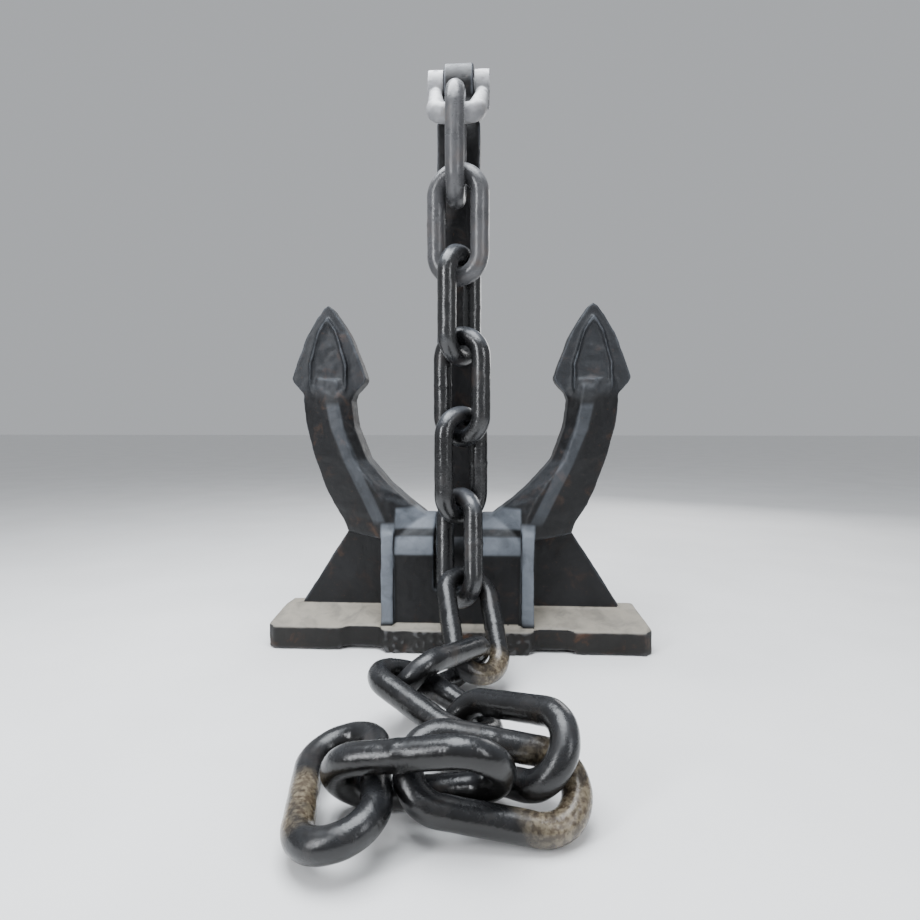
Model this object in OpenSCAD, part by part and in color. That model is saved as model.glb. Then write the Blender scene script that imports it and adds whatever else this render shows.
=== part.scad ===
// Stockless fluke anchor standing on its crown plate, with its shackle and a length of studless chain.
// +Z is up, -Y is the front, and the origin is the middle of the crown plate's underside.

/* [Chain] */
// Diameter of the chain's bar
bar_d = 100; // [90:1:104]
// Outside length of one link, in bar diameters
link_length_ratio = 6.4; // [6:0.1:6.5]
// Outside width of one link, in bar diameters
link_width_ratio = 3.4; // [3.3:0.05:3.6]

/* [Crown plate] */
// Width of the crown plate, side to side
plate_w = 2160; // [2000:10:2400]
// Depth of the crown plate, front to back
plate_depth = 520; // [480:10:600]
// Height of the crown plate at its front edge
plate_h = 130; // [110:5:150]

/* [Barrel] */
// Half the width of the barrel that holds the crown pin
barrel_half_w = 360; // [330:5:400]
// Height of the crown pin's axis above the ground
pin_z = 520; // [500:5:540]
// Diameter of the crown pin
crown_pin_d = 170; // [150:5:190]

/* [Arms] */
// Height of the palms' points above the ground
palm_tip_z = 1960; // [1900:10:2000]
// Distance of a palm's middle from the anchor's middle
palm_x = 760; // [740:5:780]
// Width of one palm over its barbs
palm_w = 440; // [380:10:460]

/* [Shank] */
// Height of the shank's eye above the ground
shackle_z = 3170; // [3100:10:3250]
// Width of the shank, side to side
shank_w = 240; // [220:5:250]
// Width of the shank's head, between the shackle's eyes
shank_head_w = 164; // [150:2:170]

/* [Shackle] */
// Diameter of the shackle pin
shackle_pin_d = 120; // [100:5:130]
// Diameter of the shackle's bow
bow_d = 104; // [96:2:108]
// Width over the shackle's eyes
shackle_w = 344; // [340:2:360]

/* [Hidden] */
$fn = 64;

// Running gap of a pin in its eye, on the radius
run_gap = 0.05;
// Gap between pieces that are fitted and don't move
seat_gap = 0.5;

iron = [0.13, 0.12, 0.12];
dust = [0.42, 0.40, 0.37];
steel = [0.45, 0.45, 0.47];

// ---- crown plate ----
plate_front = -plate_depth / 2;
plate_back = plate_depth / 2;
end_w = plate_w / 2;
// Height and half depth of the ridge that the webs stand on
ridge_h = 205;
plate_ridge_y = 60;
plate_hip = 55;
plate_corner = 40;
// The middle stretch of the plate stands forward of its two recesses
mid_half_w = 400;
mid_forward = 30;
recess_half_w = 660;
recess_in = 22;
recess_ramp = 50;
foot_h = 14;

// Front half of the plate's outline, from the left end to the right
function plate_front_edge() = let(
    end = [[end_w, plate_front + plate_corner], [end_w - plate_corner, plate_front]],
    side = [
        [recess_half_w, plate_front], [recess_half_w - recess_ramp, plate_front + recess_in],
        [mid_half_w + recess_ramp, plate_front + recess_in], [mid_half_w, plate_front - mid_forward]
    ],
    half = concat(end, side))
    concat([for (p = half) [-p[0], p[1]]], [for (i = [len(half) - 1:-1:0]) half[i]]);

module crown_plate() {
    difference() {
        intersection() {
            linear_extrude(ridge_h)
                for (back = [0, 1])
                    mirror([0, back])
                        polygon(concat(plate_front_edge(), [[end_w, 1], [-end_w, 1]]));
            // Side view: the top rises from both edges to the ridge
            rotate([90, 0, 90])
                linear_extrude(plate_w * 2, center = true)
                    polygon([
                        [plate_front * 2, 0], [plate_back * 2, 0], [plate_back * 2, plate_h],
                        [plate_back, plate_h], [plate_ridge_y, ridge_h], [-plate_ridge_y, ridge_h],
                        [plate_front, plate_h], [plate_front * 2, plate_h]
                    ]);
            // Front view: a hip at each end
            rotate([90, 0, 0])
                linear_extrude(plate_depth * 2, center = true)
                    polygon([
                        [-end_w, 0], [end_w, 0], [end_w, plate_h], [end_w - plate_hip, ridge_h],
                        [plate_hip - end_w, ridge_h], [-end_w, plate_h]
                    ]);
        }
        // Shallow reliefs leave a foot at each end and one in the middle
        for (side = [-1, 1])
            translate([side * (recess_half_w + mid_half_w) / 2 - 130, plate_front - 60, -1])
                cube([260, plate_depth + 120, foot_h + 1]);
    }
}

// ---- barrel ----
barrel_top = 235;
barrel_front = 225;
// Side view of the barrel: a round top, a ledge, a sloping band and a flat face down to the plate
module barrel_profile() {
    dome_r = 222;
    translate([0, pin_z + barrel_top - dome_r])
        circle(dome_r, $fn = 96);
    polygon([
        [-barrel_front, plate_h - 5], [-barrel_front, pin_z + 10], [-196, pin_z + 122],
        [-165, pin_z + 135], [165, pin_z + 135], [196, pin_z + 122],
        [barrel_front, pin_z + 10], [barrel_front, plate_h - 5]
    ]);
}

module barrel() {
    translate([-barrel_half_w - 20, 0, 0])
        rotate([90, 0, 90])
            linear_extrude(barrel_half_w * 2 + 40) barrel_profile();
}

// ---- arms ----
rib_w = 68;
rib_x = barrel_half_w + rib_w / 2;
waist_x = 650;
waist_z = 655;
web_t = 120;

// The flat web between the ribs and the plate's ends
module web() {
    rotate([90, 0, 0])
        linear_extrude(web_t, center = true)
            polygon([
                [barrel_half_w - 40, plate_h - 20], [950, plate_h - 20], [938, ridge_h],
                [waist_x, waist_z], [waist_x + 10, waist_z + 60], [barrel_half_w - 40, waist_z + 60]
            ]);
}

// Stations along an arm: outer edge, ridge and inner edge, each [x, z], then the ridge's reach
// in front of the middle and the half thickness of both edges
arm_stations = [
    [waist_x, 640,  400, 625,  150, 680,  215, 85],
    [675, 712,      425, 750,  205, 755,  205, 85],
    [735, 810,      475, 860,  310, 835,  192, 85],
    [780, 900,      535, 950,  405, 920,  182, 82],
    [850, 1100,     630, 1065, 535, 1070, 166, 80],
    [890, 1260,     695, 1250, 605, 1260, 148, 76],
    [908, 1400,     725, 1400, 625, 1425, 128, 70],
    [905, 1530,     745, 1530, 625, 1530, 90, 60]
];
ridge_half_w = 33;

// Eight points round one station: the ridge is flat on the front and on the back
function arm_ring(s) = [
    [s[0], s[7], s[1]],
    [s[2] + ridge_half_w, s[6], s[3]],
    [s[2] - ridge_half_w, s[6], s[3]],
    [s[4], s[7], s[5]],
    [s[4], -s[7], s[5]],
    [s[2] - ridge_half_w, -s[6], s[3]],
    [s[2] + ridge_half_w, -s[6], s[3]],
    [s[0], -s[7], s[1]]
];

// A closed skin over rings that all hold the same number of points
module ring_skin(rings) {
    count = len(rings[0]);
    last = len(rings) - 1;
    polyhedron(
        points = [for (ring = rings) for (p = ring) p],
        faces = concat(
            [[for (i = [0:count - 1]) i]],
            [for (k = [0:last - 1]) for (i = [0:count - 1])
                [k * count + i, (k + 1) * count + i, (k + 1) * count + (i + 1) % count]],
            [for (k = [0:last - 1]) for (i = [0:count - 1])
                [k * count + i, (k + 1) * count + (i + 1) % count, k * count + (i + 1) % count]],
            [[for (i = [0:count - 1]) last * count + count - 1 - i]]
        )
    );
}

module arm() {
    ring_skin([for (s = arm_stations) arm_ring(s)]);
}

// ---- palms ----
palm_barb_z = 1525;
palm_root_z = 1385;
palm_t = 120;
// Outline of the spear-shaped palm, [x, z] from the palm's middle line
function palm_outline() = let(
    h = palm_w / 2,
    half = [
        [0, palm_tip_z], [22, palm_tip_z - 18], [120, palm_barb_z + 235], [h - 30, palm_barb_z + 85],
        [h, palm_barb_z + 15], [h - 12, palm_barb_z - 15], [152, palm_barb_z - 75],
        [138, palm_root_z + 30], [90, palm_root_z]
    ])
    concat(half, [for (i = [len(half) - 1:-1:1]) [-half[i][0], half[i][1]]]);

// The spade-shaped panel, set into the palm's face
module spade_outline(grow) {
    foot_z = palm_root_z + 110;
    offset(delta = grow)
        polygon(concat(
            [[0, palm_tip_z - 70], [45, palm_tip_z - 150], [108, palm_barb_z + 90], [112, foot_z]],
            [for (a = [20:20:160]) [112 * cos(a), foot_z - 95 * sin(a)]],
            [[-112, foot_z], [-108, palm_barb_z + 90], [-45, palm_tip_z - 150]]
        ));
}

module palm() {
    translate([palm_x, 0, 0])
        difference() {
            union() {
                rotate([90, 0, 0])
                    translate([0, 0, -palm_t / 2])
                        linear_extrude(palm_t) polygon(palm_outline());
                rotate([90, 0, 0])
                    translate([0, 0, palm_t / 2 - 10])
                        linear_extrude(40) spade_outline(0);
            }
            rotate([90, 0, 0])
                translate([0, 0, palm_t / 2 + 12])
                    linear_extrude(40) spade_outline(-14);
        }
}

// ---- head ----
slot_half_w = shank_w / 2 + 12;
foot_r = 165;
seat_x = (slot_half_w + barrel_half_w) / 2;
seat_w = barrel_half_w - slot_half_w - 40;
keeper_depth = crown_pin_d - 10;
keeper_bottom = 40;
dowel_r = 22;
dowel_z = 230;
dowel_front = -110;

module head() {
    color(iron)
        difference() {
            union() {
                crown_plate();
                barrel();
                for (side = [0, 1])
                    mirror([side, 0, 0]) {
                        web();
                        arm();
                        palm();
                        rib();
                    }
            }
            // Slot that the shank swings in
            translate([-slot_half_w, -600, pin_z - foot_r - 12])
                cube([slot_half_w * 2, 1200, 700]);
            // Seats for the crown pin, open below for the keepers
            for (side = [-1, 1])
                pin_seat(side);
        }
}

// The upright rib at each end of the barrel, in front and behind
module rib() {
    for (face = [0, 1])
        mirror([0, face, 0])
            translate([rib_x - rib_w / 2, 0, 0])
                rotate([90, 0, 90])
                    linear_extrude(rib_w)
                        polygon([
                            [-255, plate_h - 20], [-245, pin_z + 60], [-232, pin_z + 125],
                            [-205, pin_z + 165], [-60, pin_z + 165], [-60, plate_h - 20]
                        ]);
}

module pin_seat(side) {
    translate([side * seat_x - seat_w / 2, 0, pin_z])
        rotate([0, 90, 0])
            cylinder(r = crown_pin_d / 2 + seat_gap, h = seat_w);
    translate([side * seat_x - seat_w / 2, -crown_pin_d / 2 - seat_gap, -1])
        cube([seat_w, crown_pin_d + seat_gap * 2, pin_z + 1]);
    translate([side * seat_x, 0, pin_z])
        rotate([0, side * -90, 0])
            cylinder(r = crown_pin_d / 2 + seat_gap, h = seat_x);
    translate([side * seat_x, dowel_front, dowel_z])
        rotate([-90, 0, 0])
            cylinder(r = dowel_r + seat_gap, h = 600);
}

module crown_pin() {
    reach = seat_x + seat_w / 2 - 2;
    color(steel)
        translate([-reach, 0, pin_z])
            rotate([0, 90, 0])
                cylinder(r = crown_pin_d / 2, h = reach * 2);
}

// Block under each end of the crown pin
module pin_keeper(side) {
    color(iron)
        difference() {
            translate([side * seat_x - seat_w / 2 + 2, -keeper_depth / 2, keeper_bottom])
                cube([seat_w - 4, keeper_depth, pin_z - keeper_bottom - 20]);
            translate([side * seat_x - seat_w, 0, pin_z])
                rotate([0, 90, 0])
                    cylinder(r = crown_pin_d / 2 + seat_gap, h = seat_w * 2);
            translate([side * seat_x, -600, dowel_z])
                rotate([-90, 0, 0])
                    cylinder(r = dowel_r + seat_gap, h = 1200);
        }
}

module pin_keeper_left() { pin_keeper(-1); }
module pin_keeper_right() { pin_keeper(1); }

// Dowel driven in from behind, through the head and the keeper
module keeper_dowel(side) {
    color(steel)
        translate([side * seat_x, dowel_front + 2, dowel_z])
            rotate([-90, 0, 0])
                cylinder(r = dowel_r, h = barrel_front - dowel_front + 6);
}

module keeper_dowel_left() { keeper_dowel(-1); }
module keeper_dowel_right() { keeper_dowel(1); }

// ---- shank ----
shank_depth_foot = 250;
shank_depth_top = 200;
head_r = 130;
neck_z = shackle_z - 230;

module shank() {
    color(iron)
        difference() {
            union() {
                // Foot, round about the crown pin
                translate([-shank_w / 2, 0, pin_z])
                    rotate([0, 90, 0])
                        cylinder(r = foot_r, h = shank_w, $fn = 96);
                // Body, tapering in depth only
                translate([-shank_w / 2, 0, 0])
                    rotate([90, 0, 90])
                        linear_extrude(shank_w)
                            polygon([
                                [-shank_depth_foot / 2, pin_z], [shank_depth_foot / 2, pin_z],
                                [shank_depth_top / 2, neck_z], [-shank_depth_top / 2, neck_z]
                            ]);
                // Shoulders that lead into the narrow head
                rotate([90, 0, 0])
                    translate([0, 0, -shank_depth_top / 2])
                        linear_extrude(shank_depth_top)
                            polygon([
                                [-shank_w / 2, neck_z], [shank_w / 2, neck_z],
                                [shank_head_w / 2, neck_z + 70], [-shank_head_w / 2, neck_z + 70]
                            ]);
                translate([-shank_head_w / 2, -shank_depth_top / 2, neck_z + 60])
                    cube([shank_head_w, shank_depth_top, shackle_z - neck_z - 60]);
                translate([-shank_head_w / 2, 0, shackle_z])
                    rotate([0, 90, 0])
                        cylinder(r = head_r, h = shank_head_w, $fn = 96);
            }
            translate([-shank_w, 0, pin_z])
                rotate([0, 90, 0])
                    cylinder(r = crown_pin_d / 2 + run_gap, h = shank_w * 2);
            translate([-shank_w, 0, shackle_z])
                rotate([0, 90, 0])
                    cylinder(r = shackle_pin_d / 2 + run_gap, h = shank_w * 2);
        }
}

// ---- shackle ----
// The bow hangs forward of the shank's eye and below it
bow_reach = 404;
bow_dip = 42;
bow_half_w = 110;
bow_r = bow_d / 2;
corner_r = 58;
eye_w = (shackle_w - shank_head_w - 6) / 2;
eye_x = shackle_w / 2 - eye_w / 2;
eye_r = 100;
leg_r = 40;
leg_start = 60;
leg_bend = 140;
lock_r = 11;
leg_end = bow_reach - corner_r;
// Straight length before the corner, and how the tapered length laps into both its neighbours
corner_lead = 30;
taper_lap = 8;
taper_step = 1.5;
taper_run = leg_end - corner_lead - leg_bend + taper_lap * 2;
taper_tilt = atan((eye_x - bow_half_w) / taper_run);

// Placed so that local +X runs from the shackle pin to the bow
module at_bow() {
    translate([0, 0, shackle_z])
        rotate([0, bow_dip, -90])
            children();
}

module shackle_bow() {
    color(dust)
        at_bow()
            difference() {
                union() {
                    for (side = [-1, 1]) {
                        // Eye
                        translate([0, side * eye_x + eye_w / 2, 0])
                            rotate([90, 0, 0])
                                cylinder(r = eye_r, h = eye_w);
                        // Leg: straight past the shank's head, then drawn in to the bow
                        translate([leg_start, side * eye_x, 0])
                            rotate([0, 90, 0])
                                cylinder(r = leg_r, h = leg_bend - leg_start);
                        translate([leg_bend - taper_lap, side * eye_x, 0])
                            rotate([0, 90, -side * taper_tilt])
                                cylinder(r1 = leg_r - taper_step, r2 = bow_r - taper_step,
                                         h = taper_run / cos(taper_tilt));
                        translate([leg_end - corner_lead, side * bow_half_w, 0])
                            rotate([0, 90, 0])
                                cylinder(r = bow_r, h = corner_lead);
                        // Corner of the bow
                        translate([leg_end, side * (bow_half_w - corner_r), 0])
                            rotate([0, 0, side > 0 ? 0 : -90])
                                rotate_extrude(angle = 90)
                                    translate([corner_r, 0]) circle(bow_r);
                    }
                    // Crossing bar of the bow
                    translate([bow_reach, corner_r - bow_half_w, 0])
                        rotate([-90, 0, 0])
                            cylinder(r = bow_r, h = (bow_half_w - corner_r) * 2);
                }
                rotate([90, 0, 0])
                    translate([0, 0, -shackle_w])
                        cylinder(r = shackle_pin_d / 2 + seat_gap, h = shackle_w * 2);
                translate([0, -eye_x, -eye_r - 1])
                    cylinder(r = lock_r + seat_gap, h = eye_r * 2 + 2);
            }
}

module shackle_pin() {
    color(steel)
        at_bow()
            difference() {
                rotate([90, 0, 0])
                    translate([0, 0, -shackle_w / 2])
                        cylinder(r = shackle_pin_d / 2, h = shackle_w);
                translate([0, -eye_x, -eye_r])
                    cylinder(r = lock_r + seat_gap, h = eye_r * 2);
            }
}

// Pin through one eye that stops the shackle pin from sliding out
module shackle_locking_pin() {
    color(steel)
        at_bow()
            translate([0, -eye_x, -eye_r + 20])
                cylinder(r = lock_r, h = eye_r * 2 - 40);
}

// Lead plug over the locking pin
module locking_pin_plug() {
    color([0.5, 0.5, 0.52])
        at_bow()
            translate([0, -eye_x, eye_r - 19])
                cylinder(r = lock_r, h = 17);
}

// ---- chain ----
crown_r = (link_width_ratio - 1) * bar_d / 2;
crown_x = (link_length_ratio * bar_d) / 2 - bar_d / 2 - crown_r;
end_bar_x = crown_x + crown_r;

// One link: local X is its length and local Y its width
module link() {
    color(steel) {
        for (side = [-1, 1])
            translate([-crown_x, side * crown_r, 0])
                rotate([0, 90, 0])
                    cylinder(r = bar_d / 2, h = crown_x * 2, $fn = 48);
        for (end = [0, 1])
            mirror([end, 0, 0])
                translate([crown_x, 0, 0])
                    rotate([0, 0, -90])
                        rotate_extrude(angle = 180, $fn = 64)
                            translate([crown_r, 0]) circle(bar_d / 2, $fn = 48);
    }
}

// Where each link's middle lies, in mm, and how it lies, in degrees: the heading of its length
// seen from above, its dip below level, and its roll about its own length
link_places = [
    [0, -300, 2733, -90, 90, 90],
    [10, -310, 2320, -87, 91, 17],
    [20, -310, 1900, -87, 90, -57],
    [30, -320, 1470, -87, 90, 32],
    [30, -330, 1050, -87, 89, -40],
    [20, -390, 620, -86, 75, 52],
    [100, -620, 290, -76, 43, -16],
    [-20, -940, 170, -119, -8, 53],
    [-30, -1260, 180, -39, 11, -14],
    [240, -1550, 180, -43, -13, 50],
    [210, -1740, 150, 182, -10, -36],
    [-30, -1770, 180, 169, 12, 54],
    [-280, -1740, 120, -79, 2, 15]
];

module placed_link(number) {
    at = link_places[number - 1];
    translate([at[0], at[1], at[2]])
        rotate([at[5], at[4], at[3]])
            link();
}

module link_01() { placed_link(1); }
module link_02() { placed_link(2); }
module link_03() { placed_link(3); }
module link_04() { placed_link(4); }
module link_05() { placed_link(5); }
module link_06() { placed_link(6); }
module link_07() { placed_link(7); }
module link_08() { placed_link(8); }
module link_09() { placed_link(9); }
module link_10() { placed_link(10); }
module link_11() { placed_link(11); }
module link_12() { placed_link(12); }
module link_13() { placed_link(13); }

head();
crown_pin();
pin_keeper_left();
pin_keeper_right();
keeper_dowel_left();
keeper_dowel_right();
shank();
shackle_bow();
shackle_pin();
shackle_locking_pin();
locking_pin_plug();
link_01();
link_02();
link_03();
link_04();
link_05();
link_06();
link_07();
link_08();
link_09();
link_10();
link_11();
link_12();
link_13();
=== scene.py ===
"""Looks for the stockless anchor: cast head, shank, shackle and chain, on a pale floor."""

import math

import bmesh
import bpy
import numpy as np
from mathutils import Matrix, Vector, noise


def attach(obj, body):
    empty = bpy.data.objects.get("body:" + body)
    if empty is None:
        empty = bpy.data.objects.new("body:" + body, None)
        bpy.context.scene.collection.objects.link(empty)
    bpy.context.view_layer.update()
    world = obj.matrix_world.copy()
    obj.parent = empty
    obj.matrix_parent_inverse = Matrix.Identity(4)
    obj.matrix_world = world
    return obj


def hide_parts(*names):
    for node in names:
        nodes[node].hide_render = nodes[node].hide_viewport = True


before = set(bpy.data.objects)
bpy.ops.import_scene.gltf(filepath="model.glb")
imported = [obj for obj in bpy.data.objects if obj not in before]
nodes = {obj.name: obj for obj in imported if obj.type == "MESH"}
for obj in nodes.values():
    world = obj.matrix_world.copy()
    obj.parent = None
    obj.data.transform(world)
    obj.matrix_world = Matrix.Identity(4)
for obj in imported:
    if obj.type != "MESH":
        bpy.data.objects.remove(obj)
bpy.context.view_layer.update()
scene = bpy.context.scene

# The head's main dimensions, in metres, as in the CAD
BARREL_HALF_W = 0.36
PALM_X = 0.76
# The plate's rim ends at the first height, and dust with a painted sky reflection lies on its
# slopes up to the second
PLATE_EDGE_Z = 0.125
PLATE_SHEEN_DUST_Z = 0.225
# Dust and its painted sky reflection start just under the rim's upper edge and are full a little
# above that
SHEEN_DUST_START_Z = 0.120
SHEEN_DUST_FADE = 0.008
FLOOR_Z = -0.002

# Voxel size in metres and smoothing rounds that soften each casting and forging
SOFTENING = {
    "head": (0.0075, 9),
    "shank": (0.007, 7),
    "shackle_bow": (0.0035, 7),
    "pin_keeper_left": (0.005, 4),
    "pin_keeper_right": (0.005, 4),
}
# How far a point stands proud of its surroundings, in metres, to count as a full edge
CASTING_EDGE = 0.004
BOW_EDGE = 0.0025
LINK_EDGE = 0.012
# Unevenness of each surface: height and width of its bumps in metres, and the pattern's seed
HEAD_SWELL = (0.004, 0.16, 1)
HEAD_GRAIN = (0.0016, 0.035, 2)
HAMMERED_PLATE = (0.010, 0.030, 3)
HAMMERED_PALM = (0.006, 0.040, 4)
SHANK_SWELL = (0.003, 0.2, 5)
SHANK_GRAIN = (0.0012, 0.03, 6)
BOW_GRAIN = (0.0016, 0.03, 8)
LINK_GRAIN = (0.0012, 0.05)

# ---------------------------------------------------------------- camera
CAMERA_PLACE = (0.219, -3.643, 1.28)
YAW = math.radians(3.4)
PITCH = math.radians(3.44)
SENSOR_W = 36
LENS = 24.26
FAR_CLIP = 200
camera = bpy.data.objects.new("camera", bpy.data.cameras.new("camera"))
scene.collection.objects.link(camera)
scene.camera = camera
camera.data.sensor_width = SENSOR_W
camera.data.lens = LENS
camera.location = CAMERA_PLACE
camera.rotation_euler = (math.pi / 2 - PITCH, 0, YAW)
camera.data.clip_end = FAR_CLIP


# ---------------------------------------------------------------- mesh helpers
def new_object(name, mesh):
    obj = bpy.data.objects.new(name, mesh)
    scene.collection.objects.link(obj)
    return obj


def mesh_from(name, verts, faces, smooth=True):
    mesh = bpy.data.meshes.new(name)
    mesh.from_pydata([tuple(v) for v in verts], [], faces)
    mesh.polygons.foreach_set("use_smooth", [smooth] * len(mesh.polygons))
    mesh.update()
    return mesh


def coords(mesh):
    co = np.empty(len(mesh.vertices) * 3)
    mesh.vertices.foreach_get("co", co)
    return co.reshape(-1, 3)


def put_coords(mesh, co):
    mesh.vertices.foreach_set("co", np.asarray(co, float).ravel())
    mesh.update()


def normals(mesh):
    nor = np.empty(len(mesh.vertices) * 3)
    mesh.vertices.foreach_get("normal", nor)
    return nor.reshape(-1, 3)


def edge_pairs(mesh):
    pairs = np.empty(len(mesh.edges) * 2, int)
    mesh.edges.foreach_get("vertices", pairs)
    return pairs.reshape(-1, 2)


def neighbour_mean(values, pairs, count):
    total = np.zeros((count,) + values.shape[1:])
    degree = np.zeros(count)
    np.add.at(total, pairs[:, 0], values[pairs[:, 1]])
    np.add.at(total, pairs[:, 1], values[pairs[:, 0]])
    np.add.at(degree, pairs.ravel(), 1)
    shape = (count,) + (1,) * (values.ndim - 1)
    return total / np.maximum(degree, 1).reshape(shape)


def add_attribute(mesh, name, values):
    layer = mesh.attributes.get(name) or mesh.attributes.new(name, "FLOAT", "POINT")
    layer.data.foreach_set("value", np.asarray(values, float))


def describe_surface(mesh, scale):
    """Stores how far each point faces up and how much it stands on an edge, for the materials."""
    co, nor, pairs = coords(mesh), normals(mesh), edge_pairs(mesh)
    count = len(co)
    bend = co.copy()
    for _ in range(3):
        bend = neighbour_mean(bend, pairs, count)
    edge = ((co - bend) * nor).sum(1) / scale
    for _ in range(2):
        edge = 0.5 * edge + 0.5 * neighbour_mean(edge, pairs, count)
    add_attribute(mesh, "up", nor[:, 2])
    add_attribute(mesh, "edge", np.clip(edge, -1, 1))
    return co, nor


def roughen(mesh, amount, size, seed, where=None):
    """Moves points along their normals by smooth noise, where it is wanted."""
    co, nor = coords(mesh), normals(mesh)
    shift = Vector((seed * 7.3, seed * 3.1, seed * 5.7))
    weight = np.ones(len(co)) if where is None else where(co, nor)
    for i in np.nonzero(weight > 0)[0]:
        p = Vector(co[i]) / size + shift
        co[i] += nor[i] * weight[i] * amount * noise.noise(p)
    put_coords(mesh, co)


def softened_copy(node, name):
    """The CAD node's own shape with rounded corners and filled-in fillets, as a casting has."""
    voxel, rounds = SOFTENING[node]
    mesh = nodes[node].data.copy()
    work = bmesh.new()
    work.from_mesh(mesh)
    bmesh.ops.remove_doubles(work, verts=work.verts, dist=1e-5)
    work.to_mesh(mesh)
    work.free()
    obj = new_object(name + "_work", mesh)
    remesh = obj.modifiers.new("remesh", "REMESH")
    remesh.mode = "VOXEL"
    remesh.voxel_size = voxel
    smooth = obj.modifiers.new("smooth", "SMOOTH")
    smooth.factor = 0.5
    smooth.iterations = rounds
    graph = bpy.context.evaluated_depsgraph_get()
    made = bpy.data.meshes.new_from_object(obj.evaluated_get(graph))
    bpy.data.objects.remove(obj)
    made.name = name
    made.materials.clear()
    made.polygons.foreach_set("use_smooth", [True] * len(made.polygons))
    made.update()
    return made


def finish_piece(mesh, name, material, body, node):
    """Puts the mesh in the scene in its CAD node's place."""
    obj = new_object(name, mesh)
    mesh.materials.append(material)
    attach(obj, body)
    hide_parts(node)


# ---------------------------------------------------------------- materials
class Graph:
    """Short names for building a node material."""

    def __init__(self, name):
        self.material = bpy.data.materials.new(name)
        self.material.use_nodes = True
        self.tree = self.material.node_tree
        self.tree.nodes.clear()
        self.shader = self.add("ShaderNodeBsdfPrincipled")
        out = self.add("ShaderNodeOutputMaterial")
        self.link(self.shader.outputs[0], out.inputs["Surface"])
        self.place = self.add("ShaderNodeTexCoord").outputs["Object"]

    def add(self, kind, **values):
        made = self.tree.nodes.new(kind)
        for key, value in values.items():
            setattr(made, key, value)
        return made

    def link(self, a, b):
        self.tree.links.new(a, b)

    def put(self, value, socket):
        if isinstance(value, bpy.types.NodeSocket):
            self.link(value, socket)
        elif isinstance(value, (tuple, list)) and len(value) == 3:
            socket.default_value = (*value, 1)
        else:
            socket.default_value = value

    def attribute(self, name):
        return self.add("ShaderNodeAttribute", attribute_name=name).outputs["Fac"]

    def noise(self, scale, detail, roughness, distortion=0.0):
        made = self.add("ShaderNodeTexNoise")
        self.link(self.place, made.inputs["Vector"])
        made.inputs["Scale"].default_value = scale
        made.inputs["Detail"].default_value = detail
        made.inputs["Roughness"].default_value = roughness
        made.inputs["Distortion"].default_value = distortion
        return made.outputs["Fac"]

    def math(self, kind, a, b):
        made = self.add("ShaderNodeMath", operation=kind)
        self.put(a, made.inputs[0])
        self.put(b, made.inputs[1])
        return made.outputs[0]

    def span(self, value, low, high, to_low=0.0, to_high=1.0):
        made = self.add("ShaderNodeMapRange", interpolation_type="SMOOTHSTEP")
        self.put(value, made.inputs["Value"])
        for key, number in (("From Min", low), ("From Max", high),
                            ("To Min", to_low), ("To Max", to_high)):
            made.inputs[key].default_value = number
        return made.outputs[0]

    def mix(self, factor, a, b):
        made = self.add("ShaderNodeMix", data_type="RGBA")
        self.put(factor, made.inputs["Factor"])
        self.put(a, made.inputs["A"])
        self.put(b, made.inputs["B"])
        return made.outputs["Result"]

    def bump(self, *layers):
        last = None
        for height, strength, distance in layers:
            made = self.add("ShaderNodeBump")
            made.inputs["Strength"].default_value = strength
            made.inputs["Distance"].default_value = distance
            self.link(height, made.inputs["Height"])
            if last:
                self.link(last, made.inputs["Normal"])
            last = made.outputs["Normal"]
        self.link(last, self.shader.inputs["Normal"])


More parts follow.
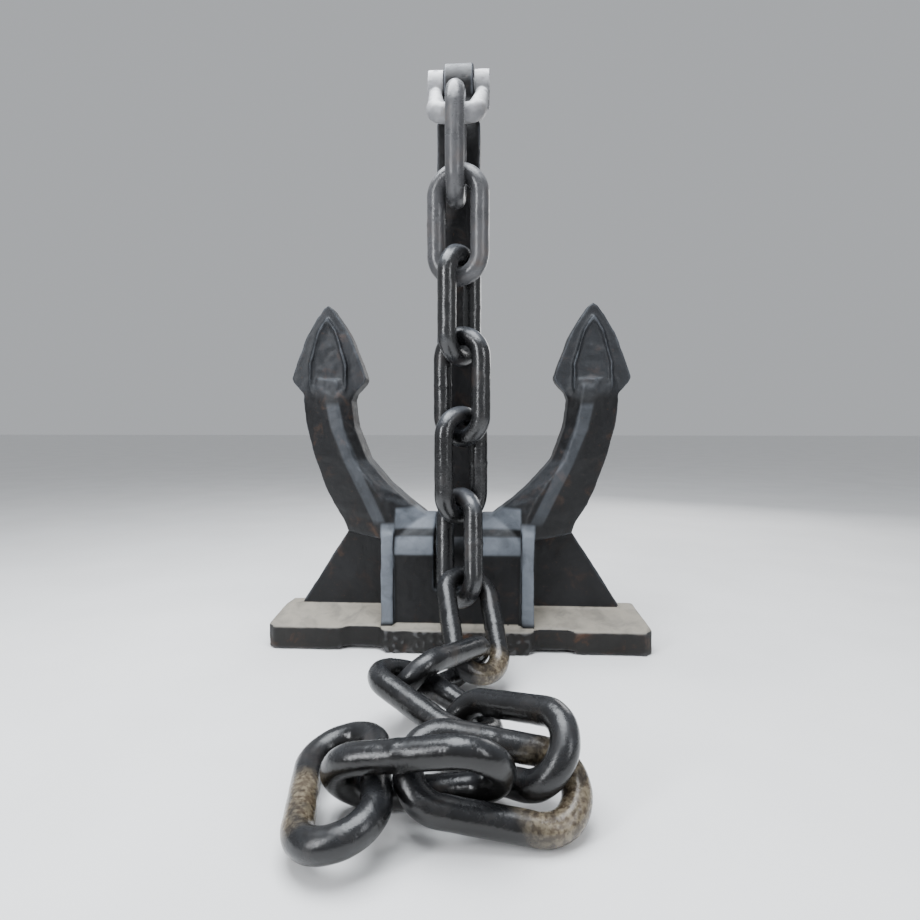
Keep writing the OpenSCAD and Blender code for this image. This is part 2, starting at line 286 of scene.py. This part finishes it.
def iron(name, dark, brown, sheen_dust_and_wear, sheen_and_dust_amount, gloss, edge_wear_and_highlight, rust_amount=0.7, shine=0.5,
         dust_and_sheen=None, dust_and_sheen_amount=0.0):
    """Weathered paint: brown tints, pale dust and a painted sky reflection on what faces up,
    painted highlights on pale parts, brown and yellow patches, worn edges that also carry a
    painted highlight.
    """
    g = Graph(name)
    broad = g.noise(2.3, 5, 0.6, 0.4)
    patch = g.noise(9.0, 6, 0.62, 0.6)
    fine = g.noise(60.0, 5, 0.6)
    grain = g.noise(260.0, 3, 0.5)
    up, edge = g.attribute("up"), g.attribute("edge")

    colour = g.mix(g.span(broad, 0.35, 0.7), dark, tuple(1.9 * c for c in dark))
    rust = g.math("MULTIPLY", g.span(patch, 0.52, 0.72), g.span(broad, 0.4, 0.62))
    colour = g.mix(g.math("MULTIPLY", rust, rust_amount), colour, brown)
    pits = g.span(fine, 0.62, 0.74)
    colour = g.mix(g.math("MULTIPLY", pits, 0.45), colour, tuple(0.5 * c for c in brown))
    # Pale film on what faces up: dust, and a painted reflection of the sky; pale parts get a
    # painted highlight
    facing = g.span(g.math("ADD", up, g.math("MULTIPLY", g.math("SUBTRACT", patch, 0.5), 0.5)),
                    0.15, 0.9)
    sheen_and_dust_mask = g.math("MULTIPLY", facing, g.span(fine, 0.25, 0.65, 0.55, 1.0))
    painted_highlight = g.math("MULTIPLY", g.attribute("pale"), g.span(patch, 0.3, 0.62, 0.65, 1.0))
    colour = g.mix(g.math("MULTIPLY", sheen_and_dust_mask, sheen_and_dust_amount), colour, sheen_dust_and_wear)
    # Painted highlight on the parts marked pale, broken up by noise
    colour = g.mix(g.math("MULTIPLY", painted_highlight, 0.8), colour, sheen_dust_and_wear)
    # Rough brown and yellow patches at the places listed for the chain
    mottled = g.math("MULTIPLY", g.attribute("mottle"), g.span(patch, 0.34, 0.55, 0.35, 1.0))
    ochre = g.mix(g.span(fine, 0.4, 0.62), (0.075, 0.055, 0.035), (0.20, 0.165, 0.11))
    colour = g.mix(g.math("MULTIPLY", mottled, 0.85), colour, ochre)
    # Dust on the plate's upward faces; its pale warm tone is also a painted reflection of the sky
    if dust_and_sheen:
        lying = g.span(g.math("ADD", up, g.math("MULTIPLY", g.math("SUBTRACT", broad, 0.5), 0.6)),
                       0.12, 0.42)
        lying = g.math("MULTIPLY", lying, g.span(patch, 0.3, 0.6, 0.6, 1.0))
        lying = g.math("MULTIPLY", lying, g.attribute("dust_and_sheen_zone"))
        colour = g.mix(g.math("MULTIPLY", lying, dust_and_sheen_amount), colour, dust_and_sheen)
    # Worn edges, lightened also by a painted edge highlight
    worn_and_lit_edge = g.math("MULTIPLY", g.span(edge, 0.12, 0.5), g.span(patch, 0.36, 0.58, 0.25, 1.0))
    colour = g.mix(g.math("MULTIPLY", worn_and_lit_edge, edge_wear_and_highlight), colour, tuple(0.8 * c for c in sheen_dust_and_wear))
    g.link(colour, g.shader.inputs["Base Color"])
    rough = g.span(patch, 0.3, 0.7, gloss, gloss + 0.16)
    g.link(g.math("ADD", rough, g.math("MULTIPLY", sheen_and_dust_mask, 0.08)), g.shader.inputs["Roughness"])
    g.shader.inputs["Metallic"].default_value = 0.1
    g.shader.inputs["Specular IOR Level"].default_value = shine
    g.bump((patch, 0.35, 0.01), (fine, 0.4, 0.0025), (grain, 0.25, 0.0008))
    return g.material


def steel(name, tone, gloss):
    """Bare machined steel with fine turning marks and a little brown stain."""
    g = Graph(name)
    mottle = g.noise(14.0, 5, 0.6)
    fine = g.noise(120.0, 4, 0.6)
    wave = g.add("ShaderNodeTexWave", wave_type="RINGS")
    g.link(g.place, wave.inputs["Vector"])
    wave.inputs["Scale"].default_value = 70
    wave.inputs["Distortion"].default_value = 1.5
    colour = g.mix(g.span(mottle, 0.4, 0.7), tone, tuple(0.45 * c for c in tone))
    colour = g.mix(g.math("MULTIPLY", g.span(fine, 0.55, 0.75), 0.6), colour, (0.13, 0.07, 0.04))
    g.link(colour, g.shader.inputs["Base Color"])
    g.link(g.span(mottle, 0.3, 0.7, gloss, gloss + 0.2), g.shader.inputs["Roughness"])
    g.shader.inputs["Metallic"].default_value = 0.85
    g.bump((wave.outputs["Fac"], 0.15, 0.0006), (fine, 0.3, 0.0008))
    return g.material


# The plate's dust colour, pale enough to serve also as a painted sky reflection
WARM_DUST_AND_SHEEN = (0.30, 0.275, 0.23)
RUST = (0.11, 0.055, 0.028)

head_look = iron("cast_head", dark=(0.0045, 0.0045, 0.005), brown=RUST,
                 sheen_dust_and_wear=(0.17, 0.19, 0.22), sheen_and_dust_amount=0.16, gloss=0.42,
                 edge_wear_and_highlight=0.25, rust_amount=0.3, shine=0.28)
shank_look = iron("forged_shank", dark=(0.004, 0.004, 0.0045), brown=RUST,
                  sheen_dust_and_wear=(0.2, 0.22, 0.26), sheen_and_dust_amount=0.25, gloss=0.34,
                  edge_wear_and_highlight=0.3, rust_amount=0.25, shine=0.3)
shackle_look = iron("shackle_paint", dark=(0.13, 0.13, 0.135), brown=(0.12, 0.09, 0.06),
                    sheen_dust_and_wear=(0.60, 0.60, 0.61), sheen_and_dust_amount=0.85, gloss=0.36, edge_wear_and_highlight=0.6)
chain_pale = iron("chain_pale", dark=(0.035, 0.035, 0.037), brown=(0.07, 0.05, 0.04),
                  sheen_dust_and_wear=(0.42, 0.43, 0.45), sheen_and_dust_amount=0.5, gloss=0.22, edge_wear_and_highlight=0.7, shine=0.6)
chain_mid = iron("chain_mid", dark=(0.006, 0.006, 0.0065), brown=(0.035, 0.022, 0.016),
                 sheen_dust_and_wear=(0.27, 0.295, 0.34), sheen_and_dust_amount=0.18, gloss=0.17,
                 edge_wear_and_highlight=0.6, rust_amount=0.4, shine=0.7)
chain_dark = iron("chain_dark", dark=(0.0035, 0.0033, 0.0032), brown=(0.03, 0.02, 0.013),
                  sheen_dust_and_wear=(0.22, 0.24, 0.28), sheen_and_dust_amount=0.05, gloss=0.13,
                  edge_wear_and_highlight=0.4, rust_amount=0.5, shine=0.5)
pin_look = steel("pin_steel", tone=(0.42, 0.41, 0.40), gloss=0.3)
lead_look = steel("lead_plug", tone=(0.33, 0.34, 0.36), gloss=0.5)

# ---------------------------------------------------------------- head
head_mesh = softened_copy("head", "head_casting")


def between(value, low, high, soft):
    """1 inside the span, fading to 0 at both its ends."""
    return np.clip((value - low) / soft, 0, 1) * np.clip((high - value) / soft, 0, 1)


# The plate's rough middle, and where each palm's sunk panel is, with its half width by height
ROUGH_HALF_W = 0.42
PANEL_Z = (1.43, 1.86)
PANEL_HALF_W = ((1.42, 0.06), (1.5, 0.10), (1.62, 0.095), (1.86, 0.02))
# A palm's width over its width in the CAD, by height, from the barbs up, and how far from the
# palm's middle that reaches
BARB_Z = 1.56
PALM_SWELL = ((BARB_Z, 1.0), (1.62, 1.03), (1.70, 1.07), (1.80, 1.20), (1.88, 1.24),
              (1.93, 1.16), (1.96, 1.0))
PALM_REACH = 0.3


def by_height(co, steps):
    """A value that changes with height, from pairs of height and value."""
    heights, values = zip(*steps)
    return np.interp(co[:, 2], heights, values)


def rough_front(co, nor):
    """The hammered middle of the plate's front and back faces."""
    middle = np.clip((ROUGH_HALF_W - np.abs(co[:, 0])) / 0.05, 0, 1)
    low = np.clip((PLATE_EDGE_Z - co[:, 2]) / 0.01, 0, 1)
    return middle * low * (np.abs(nor[:, 1]) > 0.6)


def palm_panel(co, nor):
    """The sunk panel in each palm."""
    from_middle = np.abs(np.abs(co[:, 0]) - PALM_X)
    across = np.clip((by_height(co, PANEL_HALF_W) - from_middle) / 0.02, 0, 1)
    return across * between(co[:, 2], *PANEL_Z, 0.03) * (nor[:, 1] < -0.6)


def fuller_palms(mesh):
    """Rounds out the palms' sides between the barbs and the point."""
    co = coords(mesh)
    swell = by_height(co, PALM_SWELL)
    middle = np.sign(co[:, 0]) * PALM_X
    moved = (co[:, 2] > BARB_Z) & (np.abs(co[:, 0] - middle) < PALM_REACH)
    co[moved, 0] = middle[moved] + (co[moved, 0] - middle[moved]) * swell[moved]
    put_coords(mesh, co)


fuller_palms(head_mesh)
roughen(head_mesh, *HEAD_SWELL)
roughen(head_mesh, *HEAD_GRAIN)
roughen(head_mesh, *HAMMERED_PLATE, rough_front)
roughen(head_mesh, *HAMMERED_PALM, palm_panel)
head_co, head_nor = describe_surface(head_mesh, CASTING_EDGE)

# Stretches of the head that get a painted highlight: the ribs' width and height, the barrel's two
# bands, the ridge that runs up each arm with its half width, and where the palms start
RIB_X = (0.352, 0.436)
RIB_Z = (0.15, 0.72)
DOME_Z = (0.675, 0.80)
BAND_Z = (0.535, 0.645)
RIDGE_Z = (0.7, 1.4)
RIDGE_X = ((0.65, 0.41), (1.03, 0.60), (1.25, 0.69), (1.39, 0.723))
RIDGE_HALF_W = 0.042
PALM_FOOT_Z = 1.42


def painted_highlight_parts(co, nor):
    """Rib fronts, arm ridges and the barrel's bands, lightened by a painted highlight where they
    face forward or up.
    """
    x, y, z = np.abs(co[:, 0]), co[:, 1], co[:, 2]
    forward = np.clip((-nor[:, 1] - 0.35) / 0.3, 0, 1) * (y < -0.12)
    on_barrel = between(x, 0.0, BARREL_HALF_W, 0.01)
    ribs = between(x, *RIB_X, 0.008) * between(z, *RIB_Z, 0.02) * forward
    dome = on_barrel * between(z, *DOME_Z, 0.015) * (y < 0.02)
    band = on_barrel * between(z, *BAND_Z, 0.012) * forward
    from_ridge = np.abs(x - by_height(co, RIDGE_X))
    ridge = np.clip((RIDGE_HALF_W - from_ridge) / 0.01, 0, 1) * between(z, *RIDGE_Z, 0.03)
    palm = np.clip((z - PALM_FOOT_Z) / 0.06, 0, 1) * (nor[:, 1] < -0.3)
    return np.maximum.reduce([ribs * 0.9, dome, band * 0.95, ridge * forward * 0.25,
                              palm * 0.10])


# Painted highlight where the head's ribs, bands, dome, ridges and palms face forward or up
add_attribute(head_mesh, "pale", painted_highlight_parts(head_co, head_nor))
# Where the plate's dust and painted sky reflection may lie: from just under the rim's top upwards
add_attribute(head_mesh, "dust_and_sheen_zone", np.clip((head_co[:, 2] - SHEEN_DUST_START_Z) / SHEEN_DUST_FADE, 0, 1))

# The plate's material, with dust and a painted sky reflection on its top
plate_look = iron("plate_dust_and_sheen", dark=(0.007, 0.0065, 0.006), brown=(0.09, 0.04, 0.02),
                  sheen_dust_and_wear=(0.22, 0.22, 0.23), sheen_and_dust_amount=0.2, gloss=0.5,
                  dust_and_sheen=WARM_DUST_AND_SHEEN, dust_and_sheen_amount=0.95, edge_wear_and_highlight=0.3, rust_amount=0.55, shine=0.3)
finish_piece(head_mesh, "head_casting", head_look, "head", "head")
head_mesh.materials.append(plate_look)
plate_faces = [0] * len(head_mesh.polygons)
for poly in head_mesh.polygons:
    c = poly.center
    on_plate = c.z < PLATE_EDGE_Z or (c.z < PLATE_SHEEN_DUST_Z and poly.normal.z > 0.3)
    plate_faces[poly.index] = 1 if on_plate else 0
head_mesh.polygons.foreach_set("material_index", plate_faces)

# ---------------------------------------------------------------- shank
shank_mesh = softened_copy("shank", "shank_forging")
roughen(shank_mesh, *SHANK_SWELL)
roughen(shank_mesh, *SHANK_GRAIN)
describe_surface(shank_mesh, CASTING_EDGE)
finish_piece(shank_mesh, "shank_forging", shank_look, "shank", "shank")

# ---------------------------------------------------------------- shackle
bow_mesh = softened_copy("shackle_bow", "shackle_bow_forging")
roughen(bow_mesh, *BOW_GRAIN)
describe_surface(bow_mesh, BOW_EDGE)
finish_piece(bow_mesh, "shackle_bow_forging", shackle_look, "shackle", "shackle_bow")


def lathe_along(name, start, axis, profile, steps=64):
    """A turned piece: profile is [distance along the axis, radius] from one end to the other."""
    axis = Vector(axis).normalized()
    side = axis.orthogonal().normalized()
    other = axis.cross(side)
    verts, faces = [], []
    for along, radius in profile:
        for k in range(steps):
            t = 2 * math.pi * k / steps
            offset = side * math.cos(t) + other * math.sin(t)
            verts.append(Vector(start) + axis * along + offset * radius)
    for i in range(len(profile) - 1):
        for k in range(steps):
            n = (k + 1) % steps
            faces.append((i * steps + k, i * steps + n, (i + 1) * steps + n, (i + 1) * steps + k))
    faces.append(tuple(range(steps - 1, -1, -1)))
    last = (len(profile) - 1) * steps
    faces.append(tuple(last + k for k in range(steps)))
    return mesh_from(name, verts, faces)


def pin_profile(length, radius, chamfer):
    """A plain pin with chamfered ends and a shallow centre dimple at each."""
    dimple = radius * 0.22
    return [
        (dimple * 0.4, radius * 0.02), (0.0, dimple), (0.0, radius - chamfer),
        (chamfer * 0.3, radius - chamfer * 0.3), (chamfer, radius),
        (length - chamfer, radius), (length - chamfer * 0.3, radius - chamfer * 0.3),
        (length, radius - chamfer), (length, dimple), (length - dimple * 0.4, radius * 0.02),
    ]


def node_points(node):
    return coords(nodes[node].data)


def pin_piece(node, name, axis, body, look, chamfer):
    """Turns a pin that fills its CAD node: axis through the node's middle."""
    co = node_points(node)
    axis = np.array(axis, float) / np.linalg.norm(axis)
    middle = (co.min(0) + co.max(0)) / 2
    along = (co - middle) @ axis
    radius = np.linalg.norm((co - middle) - np.outer(along, axis), axis=1).max()
    length = along.max() - along.min()
    start = middle + axis * along.min()
    mesh = lathe_along(name, start, axis, pin_profile(length, radius * 0.998, chamfer))
    describe_surface(mesh, CASTING_EDGE)
    finish_piece(mesh, name, look, body, node)


pin_piece("crown_pin", "crown_pin_turned", (1, 0, 0), "head", pin_look, 0.006)
pin_piece("shackle_pin", "shackle_pin_turned", (1, 0, 0), "shackle", shackle_look,
          0.005)
lock = node_points("shackle_locking_pin")
lock_span = lock - (lock.min(0) + lock.max(0)) / 2
lock_axis = np.linalg.svd(lock_span, full_matrices=False)[2][0]
pin_piece("shackle_locking_pin", "locking_pin_turned", lock_axis, "shackle", pin_look,
          0.002)
pin_piece("locking_pin_plug", "lead_plug_cast", lock_axis, "shackle", lead_look, 0.002)
for side in ("left", "right"):
    pin_piece(f"keeper_dowel_{side}", f"keeper_dowel_{side}_turned", (0, 1, 0), "head", pin_look,
              0.003)
    keeper = softened_copy(f"pin_keeper_{side}", f"pin_keeper_{side}_cast")
    describe_surface(keeper, CASTING_EDGE)
    finish_piece(keeper, f"pin_keeper_{side}_cast", head_look, "head", f"pin_keeper_{side}")


# ---------------------------------------------------------------- chain
def solid_axes(mesh):
    """Middle and main axes of a closed mesh, from its volume."""
    co = coords(mesh)
    mesh.calc_loop_triangles()
    tri = np.array([t.vertices[:] for t in mesh.loop_triangles])
    middle = (co.min(0) + co.max(0)) / 2
    p = co[tri] - middle
    volume = np.einsum("ij,ij->i", p[:, 0], np.cross(p[:, 1], p[:, 2])) / 6
    total = p.sum(1)
    spread = np.einsum("i,ij,ik->jk", volume, total, total)
    for k in range(3):
        spread += np.einsum("i,ij,ik->jk", volume, p[:, k], p[:, k])
    spread /= 20
    _, vector = np.linalg.eigh(spread)
    return middle, vector[:, 2], vector[:, 1]


BAR_D = 0.1
LINK_L = 6.4 * BAR_D
LINK_W = 3.4 * BAR_D
BAR_STEPS = 40
ARC_STEPS = 30
LEG_STEPS = 26
# The bar is a hair thinner than in the CAD, and worn inside the crowns
BAR_FIT = 0.997
CROWN_WEAR = 0.012
# The weld bead on one leg: its place along the leg, its half width and its height
WELD_X = 0.012
WELD_HALF_W = 0.011
WELD_H = 0.0022


def link_centreline():
    """Points, outward directions and how far into a crown, 0 to 1, round the link's plane."""
    r = (LINK_W - BAR_D) / 2
    s = (LINK_L - BAR_D) / 2 - r
    rows = []
    for end in (1, -1):
        for k in range(ARC_STEPS):
            t = -math.pi / 2 + math.pi * k / ARC_STEPS
            out = (end * math.cos(t), end * math.sin(t))
            rows.append((end * s + r * out[0], r * out[1], out, math.cos(t)))
        for k in range(LEG_STEPS):
            x = end * (s - 2 * s * k / LEG_STEPS)
            rows.append((x, end * r, (0, end), 0.0))
    return rows


def link_mesh(name, middle, along, across, seed):
    """A link's bar, round and closed, with its weld on the right leg or the left by turns."""
    normal = np.cross(along, across)
    verts, faces = [], []
    rows = link_centreline()
    weld_side = 1 if seed % 2 else -1
    bead_turn = np.random.default_rng(seed).uniform(0, 6.28)
    for x, y, out, crown in rows:
        centre = middle + along * x + across * y
        outward = along * out[0] + across * out[1]
        on_weld_leg = y * weld_side > 0 and not crown
        weld = math.exp(-((x - WELD_X) / WELD_HALF_W) ** 2) if on_weld_leg else 0.0
        for k in range(BAR_STEPS):
            t = 2 * math.pi * k / BAR_STEPS
            radius = BAR_D / 2 * (BAR_FIT - CROWN_WEAR * crown * max(0.0, -math.cos(t)))
            radius += weld * WELD_H * (1 + 0.5 * math.sin(3 * t + bead_turn))
            verts.append(centre + radius * (outward * math.cos(t) + normal * math.sin(t)))
    n = len(rows)
    for i in range(n):
        j = (i + 1) % n
        for k in range(BAR_STEPS):
            m = (k + 1) % BAR_STEPS
            faces.append((i * BAR_STEPS + k, j * BAR_STEPS + k,
                          j * BAR_STEPS + m, i * BAR_STEPS + m))
    mesh = mesh_from(name, verts, faces)
    work = bmesh.new()
    work.from_mesh(mesh)
    bmesh.ops.recalc_face_normals(work, faces=work.faces)
    work.to_mesh(mesh)
    work.free()
    roughen(mesh, *LINK_GRAIN, seed + 20)
    describe_surface(mesh, LINK_EDGE)
    return mesh


# Brown and yellow patches on the chain: link, middle of the patch, radius
MOTTLE_PLACES = [
    (13, (-0.42, -1.84, 0.12), 0.17),
    (11, (0.44, -1.76, 0.12), 0.20),
    (10, (0.44, -1.62, 0.14), 0.12),
    (7, (0.20, -0.78, 0.12), 0.13),
]


def mottle_marks(number, co):
    """How deep in a patch each point of the link lies."""
    marks = np.zeros(len(co))
    for owner, place, radius in MOTTLE_PLACES:
        if owner == number:
            away = np.linalg.norm(co - np.array(place), axis=1)
            marks = np.maximum(marks, np.clip((radius - away) / (0.35 * radius), 0, 1))
    return marks


# The coating is palest at the top of the chain and darkest in the heap
LAST_PALE = 2
LAST_MID = 6
LINKS = 13
for number in range(1, LINKS + 1):
    node = f"link_{number:02d}"
    middle, along, across = solid_axes(nodes[node].data)
    mesh = link_mesh(node + "_forged", middle, along, across, number)
    add_attribute(mesh, "mottle", mottle_marks(number, coords(mesh)))
    if number <= LAST_PALE:
        look = chain_pale
    else:
        look = chain_mid if number <= LAST_MID else chain_dark
    finish_piece(mesh, node + "_forged", look, node, node)

# ---------------------------------------------------------------- floor, light
FLOOR_HALF = 60
corners = [(x * FLOOR_HALF, y * FLOOR_HALF, FLOOR_Z)
           for x, y in ((-1, -1), (1, -1), (1, 1), (-1, 1))]
floor_mesh = mesh_from("floor", corners, [(0, 1, 2, 3)], smooth=False)
floor = new_object("floor", floor_mesh)
g = Graph("floor_pale")
tone = g.noise(1.3, 3, 0.5)
g.link(g.mix(g.span(tone, 0.3, 0.7), (0.80, 0.80, 0.80), (0.84, 0.84, 0.84)),
       g.shader.inputs["Base Color"])
g.shader.inputs["Roughness"].default_value = 0.9
floor_mesh.materials.append(g.material)

world = bpy.data.worlds.new("studio")
scene.world = world
world.use_nodes = True
sky = world.node_tree.nodes["Background"]
sky.inputs["Color"].default_value = (0.93, 0.96, 1.0, 1)
sky.inputs["Strength"].default_value = 0.5


def area_light(name, place, look_at, size, power, colour=(1, 1, 1)):
    data = bpy.data.lights.new(name, "AREA")
    data.shape = "RECTANGLE"
    data.size, data.size_y = size
    data.energy = power
    data.color = colour
    lamp = bpy.data.objects.new(name, data)
    scene.collection.objects.link(lamp)
    lamp.location = place
    lamp.rotation_euler = (Vector(look_at) - Vector(place)).to_track_quat("-Z", "Y").to_euler()


area_light("overhead", (-0.6, -1.2, 6.0), (0, -0.8, 0.4), (5, 4), 820, (0.92, 0.96, 1.0))
area_light("front_left", (-3.4, -4.6, 3.0), (0, -0.4, 1.6), (0.7, 3.2), 210, (0.95, 0.97, 1.0))
area_light("front_right", (3.8, -4.4, 3.2), (0, -0.4, 1.6), (0.5, 3.2), 90, (0.95, 0.97, 1.0))
area_light("back_fill", (3.0, 5.5, 3.5), (0, 0, 1.2), (4, 3), 160)
